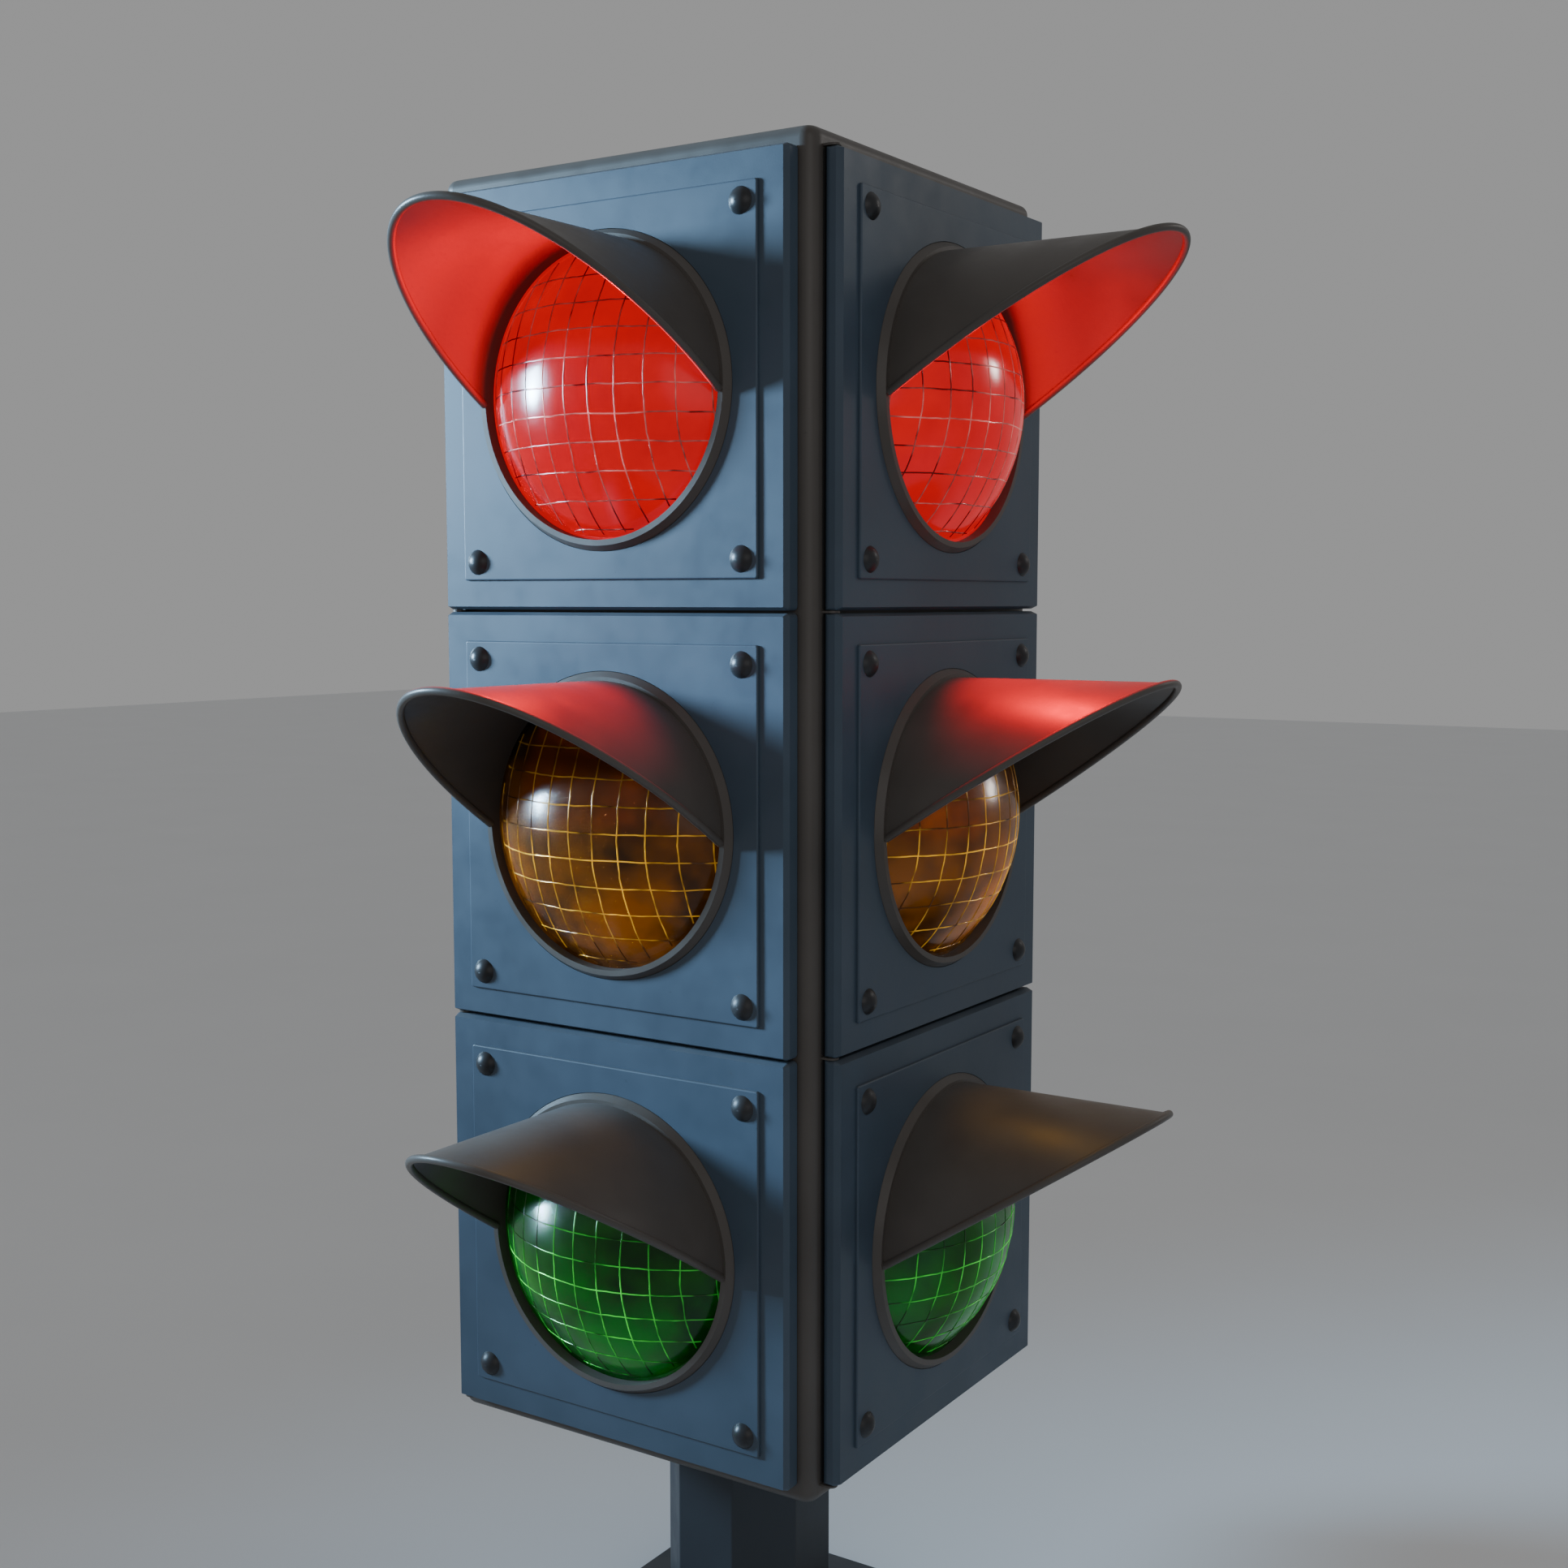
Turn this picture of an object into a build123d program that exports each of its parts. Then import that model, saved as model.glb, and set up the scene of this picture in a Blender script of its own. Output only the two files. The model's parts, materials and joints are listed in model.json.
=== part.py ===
from build123d import *
from math import acos, asin, atan, atan2, cos, degrees, radians, sin, sqrt, tan
import os

# Two-way traffic signal head: a square core box on a short octagonal post, with a stack of three
# hinged signal doors (red over amber over green) on its front and on its right side. Millimetres,
# +Z up, front towards -Y. The origin is the middle of the post's base flange, on its underside.
#
# Everything that repeats on the six sections is modelled once, in a section's own frame:
# x to the right, y up, z away from the head's vertical axis, so a z here is a distance from that axis.

# ---- driving dimensions -------------------------------------------------------------------------

SECTION_PITCH = 310.0
SECTION_STEP = {"green": 0, "amber": 1, "red": 2}
FACE_ANGLE = {"front": 0, "right": 90}

# core box
CORE_SIZE = 331.0
CORE_WALL = 3.0
CORE_CORNER = 11.0
CORE_END = 168.0  # from the middle of an outer section to the end of the box
COVER_SKIRT = 13.0
COVER_WALL = 4.0
COVER_EDGE = 8.0
COVER_SPIGOT = 12.0  # how far a cover's inner lip reaches into the box
COVER_SPIGOT_GAP = 0.2
CORE_OPENING = 104.0

# post
POST_FLATS = 125.0
POST_WALL = 4.0
POST_EDGE = 3.0
POST_HEIGHT = 215.0
BASE_FLANGE = 240.0
BASE_FLANGE_THICKNESS = 12.0
BASE_FLANGE_CORNER = 20.0
BASE_BOLT_SPACING = 190.0
BASE_BOLT_HOLE = 9.0
TOP_FLANGE = 190.0
TOP_FLANGE_THICKNESS = 8.0
TOP_BOLT_SPACING = 156.0

# door
DOOR_SIZE = 308.0
DOOR_FRONT = 181.0
DOOR_CORNER = 3.0
DOOR_WALL = 6.0
DOOR_RIM = 8.0
BEVEL_INSET = 2.2
BEVEL_DEPTH = 5.0
SEAL_THICKNESS = 0.7
SEAL_GAP = 0.3
SEAL_WIDTH = 7.0
BOSS = 9.0
DOOR_OPENING = 98.0
RECESS = 119.0
RECESS_DEPTH = 3.4

# retaining plate and its screws
PLATE_SIZE = 265.0
PLATE_THICKNESS = 2.4
PLATE_CORNER = 2.0
PLATE_ROUND = 1.2
PLATE_OPENING = 112.5
SCREW_SPACING = 238.0
SCREW = 4.0
SCREW_LENGTH = 8.0
SCREW_HEAD = 9.4
SCREW_HEAD_HEIGHT = 5.4
SCREW_CLEARANCE = 0.4
THREAD_GAP = 0.05

# hinge and catch
KNUCKLE = 5.0
PIN = 2.5
PIN_GAP = 0.05
PIN_REACH = 8.0
HINGE_TAB = 1.4
CATCH_X = 138.0
CATCH_STUD = 2.0
CATCH_GAP = 0.4
CATCH_LEAF = 1.2
CATCH_LENGTH = 16.0
CATCH_HEIGHT = 8.0

# visor
VISOR_OUTER = 105.75
VISOR_WALL = 1.4
VISOR_FLANGE = 118.5
VISOR_FLANGE_THICKNESS = 1.3
VISOR_REACH = 175.5  # from the door's front to the tip of the hood
VISOR_DROP = 4.5  # how far below the middle the hood's sides start
RING_FOOT = 112.1
RING_EDGE = 108.5
RING_HEIGHT = 5.5
BEAD = 2.8

# lens
LENS_DOME = 137.0
LENS_BULGE = 44.5  # from the door's front to the dome's top
LENS_WALL = 3.0
LENS_FLANGE = 118.5
LENS_FLANGE_THICKNESS = 2.0

# reflector, lamp holder and lamp
REFLECTOR_RIM = 100.0
REFLECTOR_FLANGE = 112.0
REFLECTOR_WALL = 1.5
REFLECTOR_SCREW = 1.5
REFLECTOR_SCREW_CIRCLE = 108.0
REFLECTOR_SCREW_HEAD = 3.2
REFLECTOR_SCREW_HEAD_HEIGHT = 1.8
REFLECTOR_HOLE = 20.0
FOCAL_LENGTH = 28.0
HOLDER_BODY = 17.0
HOLDER_PLUG = 19.4
HOLDER_FLANGE = 26.0
HOLDER_FLANGE_THICKNESS = 3.0
HOLDER_BACK = 30.0
SOCKET = 13.5
SOCKET_FLOOR = 50.0
LAMP_CAP = 13.2
LAMP_BALL = 27.0
LAMP_NECK = 14.5

# fasteners and terminals
COVER_SCREW_SPACING = 270.0
COVER_SCREW = 2.5
COVER_SCREW_HEAD = 5.5
COVER_SCREW_HEAD_HEIGHT = 3.2
COVER_SCREW_LENGTH = 10.0
POST_BOLT = 6.0
POST_BOLT_FLATS = 18.0
POST_BOLT_HEAD = 7.5
TERMINAL_LENGTH = 96.0
TERMINAL_DEPTH = 26.0
TERMINAL_HEIGHT = 22.0
TERMINAL_Y = 72.0
TERMINAL_COUNT = 12
TERMINAL_HOLE = 2.4

# ---- worked-out places --------------------------------------------------------------------------

CORE_FACE = CORE_SIZE / 2
CORE_BOTTOM = POST_HEIGHT
CORE_TOP = CORE_BOTTOM + 2 * CORE_END + 2 * SECTION_PITCH
TUBE_BOTTOM = CORE_BOTTOM + COVER_SKIRT
TUBE_TOP = CORE_TOP - COVER_SKIRT
DOOR_BACK = CORE_FACE + SEAL_THICKNESS + SEAL_GAP
BEVEL_START = DOOR_FRONT - BEVEL_DEPTH
DOOR_INSIDE = DOOR_FRONT - DOOR_WALL
RECESS_FLOOR = DOOR_FRONT - RECESS_DEPTH
PLATE_FRONT = DOOR_FRONT + PLATE_THICKNESS
RING_FRONT = PLATE_FRONT + RING_HEIGHT
HINGE_X = KNUCKLE - DOOR_SIZE / 2
HINGE_Z = DOOR_BACK + KNUCKLE

LENS_SEAT = RECESS_FLOOR + LENS_FLANGE_THICKNESS
LENS_CENTRE = DOOR_FRONT + LENS_BULGE - LENS_DOME
VISOR_BASE = DOOR_FRONT - VISOR_FLANGE_THICKNESS
VISOR_MIDDLE = VISOR_OUTER - VISOR_WALL / 2
VISOR_TIP = DOOR_FRONT + VISOR_REACH
CUT_ANGLE = atan2(VISOR_MIDDLE + VISOR_DROP, VISOR_TIP - RING_FRONT)

REFLECTOR_FRONT = CORE_FACE - CORE_WALL
REFLECTOR_VERTEX = REFLECTOR_FRONT - REFLECTOR_RIM**2 / (4 * FOCAL_LENGTH)
LAMP_CENTRE = REFLECTOR_VERTEX + FOCAL_LENGTH


def face_plane(face, height):
    """A section's own frame on one side of the head, at a height."""
    turn = radians(FACE_ANGLE[face])
    return Plane(origin=(0, 0, height), x_dir=(cos(turn), sin(turn), 0), z_dir=(sin(turn), -cos(turn), 0))


def write(piece, name):
    """Writes one node's STEP file."""
    piece.label = name
    export_step(piece, f"parts/{name}.step")


def parabola_height(radius):
    """Distance of the reflecting surface from the head's axis, at a radius from its own axis."""
    return REFLECTOR_VERTEX + radius**2 / (4 * FOCAL_LENGTH)


def dome_point(dome, angle):
    """A point on a dome's section, at an angle from its top."""
    return (dome * sin(angle), LENS_CENTRE + dome * cos(angle))


os.makedirs("parts", exist_ok=True)

SECTIONS = {
    f"{colour}_{face}": face_plane(face, CORE_BOTTOM + CORE_END + step * SECTION_PITCH)
    for colour, step in SECTION_STEP.items()
    for face in FACE_ANGLE
}

# ---- core box -----------------------------------------------------------------------------------

# Square tube with rounded corners, and a round opening and four screw holes behind each signal door.
with BuildPart() as core_housing:
    with BuildSketch(Plane.XY.offset(TUBE_BOTTOM)):
        RectangleRounded(CORE_SIZE, CORE_SIZE, CORE_CORNER)
        RectangleRounded(
            CORE_SIZE - 2 * CORE_WALL, CORE_SIZE - 2 * CORE_WALL, CORE_CORNER - CORE_WALL, mode=Mode.SUBTRACT
        )
    extrude(amount=TUBE_TOP - TUBE_BOTTOM)
    for section in SECTIONS.values():
        with BuildSketch(section.offset(REFLECTOR_FRONT)):
            Circle(CORE_OPENING)
            with PolarLocations(REFLECTOR_SCREW_CIRCLE, 4, start_angle=45):
                Circle(REFLECTOR_SCREW + THREAD_GAP)
        extrude(amount=CORE_WALL, mode=Mode.SUBTRACT)
write(core_housing.part, "core_housing")

# Pressed cover with a rounded edge and an inner lip, closed side up.
with BuildPart() as cover:
    with BuildSketch():
        RectangleRounded(CORE_SIZE, CORE_SIZE, CORE_CORNER)
    extrude(amount=COVER_SKIRT)
    fillet(faces().sort_by(Axis.Z)[-1].edges(), COVER_EDGE)
    spigot_size = CORE_SIZE - 2 * CORE_WALL - 2 * COVER_SPIGOT_GAP
    spigot_corner = CORE_CORNER - CORE_WALL
    with BuildSketch():
        RectangleRounded(spigot_size, spigot_size, spigot_corner)
    extrude(amount=-COVER_SPIGOT)
    with BuildSketch(Plane.XY.offset(COVER_SKIRT - COVER_WALL)):
        RectangleRounded(spigot_size - 2 * CORE_WALL, spigot_size - 2 * CORE_WALL, spigot_corner - CORE_WALL)
    extrude(amount=-COVER_SKIRT - COVER_SPIGOT, mode=Mode.SUBTRACT)

# The top cover stands on the tube and is screwed down at its corners.
with BuildPart() as top_cover:
    with Locations((0, 0, TUBE_TOP)):
        add(cover.part)
    with Locations((0, 0, CORE_TOP)):
        with GridLocations(COVER_SCREW_SPACING, COVER_SCREW_SPACING, 2, 2):
            Hole(COVER_SCREW + THREAD_GAP, depth=COVER_WALL + 1)
write(top_cover.part, "top_cover")

# The bottom cover is the same pressing upside down, pierced for the post and its bolts.
with BuildPart() as bottom_cover:
    with Locations(Location((0, 0, TUBE_BOTTOM), (180, 0, 0))):
        add(cover.part)
    with BuildSketch(Plane.XY.offset(CORE_BOTTOM)):
        RegularPolygon(POST_FLATS / 2 + SCREW_CLEARANCE, 8, major_radius=False, rotation=22.5)
        with GridLocations(TOP_BOLT_SPACING, TOP_BOLT_SPACING, 2, 2):
            Circle(POST_BOLT + SCREW_CLEARANCE)
        with GridLocations(COVER_SCREW_SPACING, COVER_SCREW_SPACING, 2, 2):
            Circle(COVER_SCREW + THREAD_GAP)
    extrude(amount=COVER_WALL, mode=Mode.SUBTRACT)
write(bottom_cover.part, "bottom_cover")

# Octagonal post with its base flange and the flange that carries the core box.
with BuildPart() as mounting_post:
    with BuildSketch():
        RegularPolygon(POST_FLATS / 2, 8, major_radius=False, rotation=22.5)
    extrude(amount=CORE_BOTTOM + COVER_WALL + TOP_FLANGE_THICKNESS)
    fillet(edges().filter_by(Axis.Z), POST_EDGE)
    with BuildSketch():
        RectangleRounded(BASE_FLANGE, BASE_FLANGE, BASE_FLANGE_CORNER)
    extrude(amount=BASE_FLANGE_THICKNESS)
    with BuildSketch(Plane.XY.offset(CORE_BOTTOM + COVER_WALL)):
        RectangleRounded(TOP_FLANGE, TOP_FLANGE, BASE_FLANGE_CORNER)
    extrude(amount=TOP_FLANGE_THICKNESS)
    with BuildSketch():
        RegularPolygon(POST_FLATS / 2 - POST_WALL, 8, major_radius=False, rotation=22.5)
    extrude(amount=CORE_BOTTOM + COVER_WALL + TOP_FLANGE_THICKNESS, mode=Mode.SUBTRACT)
    with Locations((0, 0, BASE_FLANGE_THICKNESS)):
        with GridLocations(BASE_BOLT_SPACING, BASE_BOLT_SPACING, 2, 2):
            Hole(BASE_BOLT_HOLE, depth=BASE_FLANGE_THICKNESS)
    with Locations((0, 0, CORE_BOTTOM + COVER_WALL + TOP_FLANGE_THICKNESS)):
        with GridLocations(TOP_BOLT_SPACING, TOP_BOLT_SPACING, 2, 2):
            Hole(POST_BOLT + SCREW_CLEARANCE, depth=TOP_FLANGE_THICKNESS)
write(mounting_post.part, "mounting_post")

# ---- one signal section -------------------------------------------------------------------------

# Door casting: a shallow box with sloped front edges, an opening for the lens and a recess round it.
with BuildPart() as door:
    with BuildSketch(Plane.XY.offset(DOOR_BACK)):
        RectangleRounded(DOOR_SIZE, DOOR_SIZE, DOOR_CORNER)
    extrude(amount=BEVEL_START - DOOR_BACK)
    with BuildSketch(Plane.XY.offset(BEVEL_START)):
        RectangleRounded(DOOR_SIZE, DOOR_SIZE, DOOR_CORNER)
    extrude(amount=BEVEL_DEPTH, taper=degrees(atan(BEVEL_INSET / BEVEL_DEPTH)))
    # hollow back, with a boss for each screw and a stud for the catch
    with BuildSketch(Plane.XY.offset(DOOR_BACK)):
        RectangleRounded(DOOR_SIZE - 2 * DOOR_RIM, DOOR_SIZE - 2 * DOOR_RIM, DOOR_CORNER)
    extrude(amount=DOOR_INSIDE - DOOR_BACK, mode=Mode.SUBTRACT)
    with BuildSketch(Plane.XY.offset(DOOR_BACK)):
        with GridLocations(SCREW_SPACING, SCREW_SPACING, 2, 2):
            Circle(BOSS)
    extrude(amount=DOOR_INSIDE - DOOR_BACK)
    with BuildSketch(Plane.XY.offset(CORE_FACE + CATCH_HEIGHT / 2)):
        with Locations((CATCH_X, 0)):
            Circle(CATCH_STUD)
    extrude(amount=DOOR_INSIDE - CORE_FACE - CATCH_HEIGHT / 2)
    # opening, recess and screw holes
    with BuildSketch(Plane.XY.offset(DOOR_BACK)):
        Circle(DOOR_OPENING)
    extrude(amount=DOOR_WALL + DOOR_FRONT - DOOR_BACK, mode=Mode.SUBTRACT)
    with BuildSketch(Plane.XY.offset(RECESS_FLOOR)):
        Circle(RECESS)
    extrude(amount=RECESS_DEPTH, mode=Mode.SUBTRACT)
    with BuildSketch(Plane.XY.offset(DOOR_FRONT - SCREW_LENGTH - 1)):
        with GridLocations(SCREW_SPACING, SCREW_SPACING, 2, 2):
            Circle(SCREW + THREAD_GAP)
    extrude(amount=SCREW_LENGTH + 1, mode=Mode.SUBTRACT)
    # the hinge edge is rounded about the pin, which enters from the top and the bottom
    with BuildSketch(Plane(origin=(HINGE_X, -DOOR_SIZE / 2, HINGE_Z), x_dir=(1, 0, 0), z_dir=(0, 1, 0))):
        Rectangle(KNUCKLE, KNUCKLE, align=(Align.MAX, Align.MIN))
        Circle(KNUCKLE, mode=Mode.SUBTRACT)
    extrude(amount=DOOR_SIZE, mode=Mode.SUBTRACT)
    for end in (1, -1):
        with BuildSketch(Plane(origin=(HINGE_X, end * DOOR_SIZE / 2, HINGE_Z), z_dir=(0, end, 0))):
            Circle(PIN + PIN_GAP)
        extrude(amount=-PIN_REACH - 1, mode=Mode.SUBTRACT)

# Domed lens, a shell of even thickness with a flat flange that lies in the door's recess.
lens_base = acos((LENS_SEAT - LENS_CENTRE) / LENS_DOME)
inner_dome = LENS_DOME - LENS_WALL
inner_base = acos((RECESS_FLOOR - LENS_CENTRE) / inner_dome)
with BuildPart() as lens:
    with BuildSketch(Plane.XZ):
        with BuildLine():
            ThreePointArc(
                dome_point(LENS_DOME, 0),
                dome_point(LENS_DOME, lens_base / 2),
                dome_point(LENS_DOME, lens_base),
            )
            Polyline(
                dome_point(LENS_DOME, lens_base),
                (LENS_FLANGE, LENS_SEAT),
                (LENS_FLANGE, RECESS_FLOOR),
                dome_point(inner_dome, inner_base),
            )
            ThreePointArc(
                dome_point(inner_dome, inner_base),
                dome_point(inner_dome, inner_base / 2),
                dome_point(inner_dome, 0),
            )
            Line(dome_point(inner_dome, 0), dome_point(LENS_DOME, 0))
        make_face()
    revolve(axis=Axis.Z)

# Cutaway visor: a flange over the lens's, a tapered ring that stands through the plate, and a hood cut
# off by a sloping plane with a rolled bead along the cut.
cut_plane = Plane(
    origin=(0, 0, RING_FRONT + VISOR_DROP / tan(CUT_ANGLE)),
    x_dir=(1, 0, 0),
    z_dir=(0, -cos(CUT_ANGLE), sin(CUT_ANGLE)),
)
bead_start = degrees(asin(VISOR_DROP / VISOR_MIDDLE))
with BuildPart() as visor:
    with BuildSketch(Plane.XY.offset(VISOR_BASE)):
        Circle(VISOR_OUTER)
    extrude(amount=VISOR_TIP + BEAD - VISOR_BASE)
    split(bisect_by=cut_plane, keep=Keep.BOTTOM)
    with BuildSketch(Plane.XY.offset(VISOR_BASE)):
        Circle(RING_FOOT)
    extrude(amount=PLATE_FRONT - VISOR_BASE)
    with BuildSketch(Plane.XY.offset(PLATE_FRONT)):
        Circle(RING_FOOT)
    extrude(amount=RING_HEIGHT, taper=degrees(atan((RING_FOOT - RING_EDGE) / RING_HEIGHT)))
    with BuildSketch(Plane.XY.offset(VISOR_BASE)):
        Circle(VISOR_FLANGE)
    extrude(amount=VISOR_FLANGE_THICKNESS)
    with BuildSketch(Plane.XY.offset(VISOR_BASE)):
        Circle(VISOR_OUTER - VISOR_WALL)
    extrude(amount=VISOR_TIP + BEAD - VISOR_BASE, mode=Mode.SUBTRACT)
    with BuildLine(cut_plane) as bead_line:
        EllipticalCenterArc(
            (0, 0),
            VISOR_MIDDLE,
            VISOR_MIDDLE / sin(CUT_ANGLE),
            start_angle=-bead_start,
            arc_size=180 + 2 * bead_start,
        )
    with BuildSketch(Plane(origin=bead_line.line @ 0, z_dir=bead_line.line % 0)):
        Circle(BEAD)
    sweep(path=bead_line.line)

# Retaining plate: four screws draw it down on the visor's flange and the lens's.
with BuildPart() as plate:
    with BuildSketch(Plane.XY.offset(DOOR_FRONT)):
        RectangleRounded(PLATE_SIZE, PLATE_SIZE, PLATE_CORNER)
    extrude(amount=PLATE_THICKNESS)
    fillet(faces().sort_by(Axis.Z)[-1].edges(), PLATE_ROUND)
    with BuildSketch(Plane.XY.offset(DOOR_FRONT)):
        Circle(PLATE_OPENING)
        with GridLocations(SCREW_SPACING, SCREW_SPACING, 2, 2):
            Circle(SCREW + SCREW_CLEARANCE)
    extrude(amount=PLATE_THICKNESS, mode=Mode.SUBTRACT)

# Screw with a plain domed head on the plate and its thread in the door's boss.
head_sphere = (SCREW_HEAD**2 + SCREW_HEAD_HEIGHT**2) / (2 * SCREW_HEAD_HEIGHT)
head_middle = asin(SCREW_HEAD / head_sphere) / 2
head_top = PLATE_FRONT + SCREW_HEAD_HEIGHT
with BuildPart() as plate_screw:
    with BuildSketch(Plane.XZ):
        with BuildLine():
            ThreePointArc(
                (SCREW_HEAD, PLATE_FRONT),
                (head_sphere * sin(head_middle), head_top - head_sphere * (1 - cos(head_middle))),
                (0, head_top),
            )
            Polyline(
                (0, head_top),
                (0, DOOR_FRONT - SCREW_LENGTH),
                (SCREW, DOOR_FRONT - SCREW_LENGTH),
                (SCREW, PLATE_FRONT),
                (SCREW_HEAD, PLATE_FRONT),
            )
        make_face()
    revolve(axis=Axis.Z)

screw_places = GridLocations(SCREW_SPACING, SCREW_SPACING, 2, 2).locations
plate_screws = Compound([plate_screw.part.moved(place) for place in screw_places])

# Parabolic reflector with a flange against the inside of the core's wall.
with BuildPart() as reflector:
    middle_radius = (REFLECTOR_HOLE + REFLECTOR_RIM) / 2
    middle_height = REFLECTOR_VERTEX + REFLECTOR_HOLE * REFLECTOR_RIM / (4 * FOCAL_LENGTH)
    hole_height = parabola_height(REFLECTOR_HOLE)
    with BuildSketch(Plane.XZ):
        with BuildLine():
            Bezier(
                (REFLECTOR_HOLE, hole_height),
                (middle_radius, middle_height),
                (REFLECTOR_RIM, REFLECTOR_FRONT),
            )
            Polyline(
                (REFLECTOR_RIM, REFLECTOR_FRONT),
                (REFLECTOR_FLANGE, REFLECTOR_FRONT),
                (REFLECTOR_FLANGE, REFLECTOR_FRONT - REFLECTOR_WALL),
                (REFLECTOR_RIM, REFLECTOR_FRONT - REFLECTOR_WALL),
            )
            Bezier(
                (REFLECTOR_RIM, REFLECTOR_FRONT - REFLECTOR_WALL),
                (middle_radius, middle_height - REFLECTOR_WALL),
                (REFLECTOR_HOLE, hole_height - REFLECTOR_WALL),
            )
            Line((REFLECTOR_HOLE, hole_height - REFLECTOR_WALL), (REFLECTOR_HOLE, hole_height))
        make_face()
    revolve(axis=Axis.Z)
    with BuildSketch(Plane.XY.offset(REFLECTOR_FRONT)):
        with PolarLocations(REFLECTOR_SCREW_CIRCLE, 4, start_angle=45):
            Circle(REFLECTOR_SCREW + THREAD_GAP)
    extrude(amount=-REFLECTOR_WALL, mode=Mode.SUBTRACT)

# Pan-head screw from the core's outside into the reflector's flange.
with BuildPart() as reflector_screw:
    with BuildSketch(Plane.XY.offset(CORE_FACE)):
        with PolarLocations(REFLECTOR_SCREW_CIRCLE, 4, start_angle=45):
            Circle(REFLECTOR_SCREW_HEAD)
    extrude(amount=REFLECTOR_SCREW_HEAD_HEIGHT)
    with BuildSketch(Plane.XY.offset(CORE_FACE)):
        with PolarLocations(REFLECTOR_SCREW_CIRCLE, 4, start_angle=45):
            Circle(REFLECTOR_SCREW)
    extrude(amount=-CORE_WALL - REFLECTOR_WALL - 1)

# Lamp holder plugged into the reflector's hole, with a socket for the lamp's cap.
holder_front = parabola_height(REFLECTOR_HOLE)
holder_seat = holder_front - REFLECTOR_WALL - 1
with BuildPart() as lamp_holder:
    with BuildSketch(Plane.XY.offset(HOLDER_BACK)):
        Circle(HOLDER_BODY)
    extrude(amount=holder_seat - HOLDER_BACK)
    with BuildSketch(Plane.XY.offset(holder_seat)):
        Circle(HOLDER_FLANGE)
    extrude(amount=-HOLDER_FLANGE_THICKNESS)
    with BuildSketch(Plane.XY.offset(holder_seat)):
        Circle(HOLDER_PLUG)
    extrude(amount=holder_front - holder_seat)
    with BuildSketch(Plane.XY.offset(SOCKET_FLOOR)):
        Circle(SOCKET)
    extrude(amount=holder_front - SOCKET_FLOOR, mode=Mode.SUBTRACT)

# Signal lamp: a screw cap, a neck and a clear ball with the filament at the focus.
neck_height = LAMP_CENTRE - sqrt(LAMP_BALL**2 - LAMP_NECK**2)
with BuildPart() as lamp:
    with BuildSketch(Plane.XZ):
        with BuildLine():
            Polyline(
                (0, LAMP_CENTRE + LAMP_BALL),
                (0, SOCKET_FLOOR + 1),
                (LAMP_CAP, SOCKET_FLOOR + 1),
                (LAMP_CAP, holder_front + 1),
                (LAMP_NECK, holder_front + 1),
                (LAMP_NECK, neck_height),
            )
            ThreePointArc((LAMP_NECK, neck_height), (LAMP_BALL, LAMP_CENTRE), (0, LAMP_CENTRE + LAMP_BALL))
        make_face()
    revolve(axis=Axis.Z)

# Rubber seal between the core's face and the door's rim.
seal_outer = DOOR_SIZE - DOOR_RIM + SEAL_WIDTH
seal_inner = DOOR_SIZE - DOOR_RIM - SEAL_WIDTH
with BuildPart() as seal:
    with BuildSketch(Plane.XY.offset(CORE_FACE)):
        RectangleRounded(seal_outer, seal_outer, DOOR_CORNER)
        RectangleRounded(seal_inner, seal_inner, DOOR_CORNER, mode=Mode.SUBTRACT)
    extrude(amount=SEAL_THICKNESS)

# Spring clip that grips the stud on the door's closing side.
with BuildPart() as catch:
    leaf_inside = CATCH_STUD + CATCH_GAP
    with BuildSketch(Plane.XY.offset(CORE_FACE)):
        with Locations((CATCH_X, 0)):
            Rectangle(2 * (leaf_inside + CATCH_LEAF), CATCH_LENGTH)
    extrude(amount=CATCH_HEIGHT)
    with BuildSketch(Plane.XY.offset(CORE_FACE + CATCH_LEAF)):
        with Locations((CATCH_X, 0)):
            Rectangle(2 * leaf_inside, CATCH_LENGTH)
    extrude(amount=CATCH_HEIGHT, mode=Mode.SUBTRACT)


def hinge_bracket(reach_up, reach_down):
    """A tab in the gap between two doors, with its pin reaching into the door above or below it."""
    with BuildPart() as bracket:
        tab_plane = Plane(origin=(HINGE_X, -HINGE_TAB / 2, HINGE_Z), x_dir=(1, 0, 0), z_dir=(0, 1, 0))
        with BuildSketch(tab_plane):
            Circle(KNUCKLE)
            Rectangle(2 * KNUCKLE, HINGE_Z - CORE_FACE, align=(Align.CENTER, Align.MIN))
        extrude(amount=HINGE_TAB)
        with BuildSketch(tab_plane.offset(HINGE_TAB / 2 - reach_down)):
            Circle(PIN)
        extrude(amount=reach_down + reach_up)
    return bracket.part


# ---- place and write the sections ---------------------------------------------------------------

SECTION_PARTS = {
    "door": door.part,
    "lens": lens.part,
    "visor": visor.part,
    "lens_plate": plate.part,
    "plate_screws": plate_screws,
    "reflector": reflector.part,
    "lamp_holder": lamp_holder.part,
    "lamp": lamp.part,
}
for name, section in SECTIONS.items():
    for kind, piece in SECTION_PARTS.items():
        write(piece.moved(section.location), f"{kind}_{name}")

# Small identical pieces of the core share one file.
CORE_GROUPS = {
    "reflector_screws": reflector_screw.part,
    "door_seals": seal.part,
    "door_catches": catch.part,
}
for name, piece in CORE_GROUPS.items():
    write(Compound([piece.moved(section.location) for section in SECTIONS.values()]), name)

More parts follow.
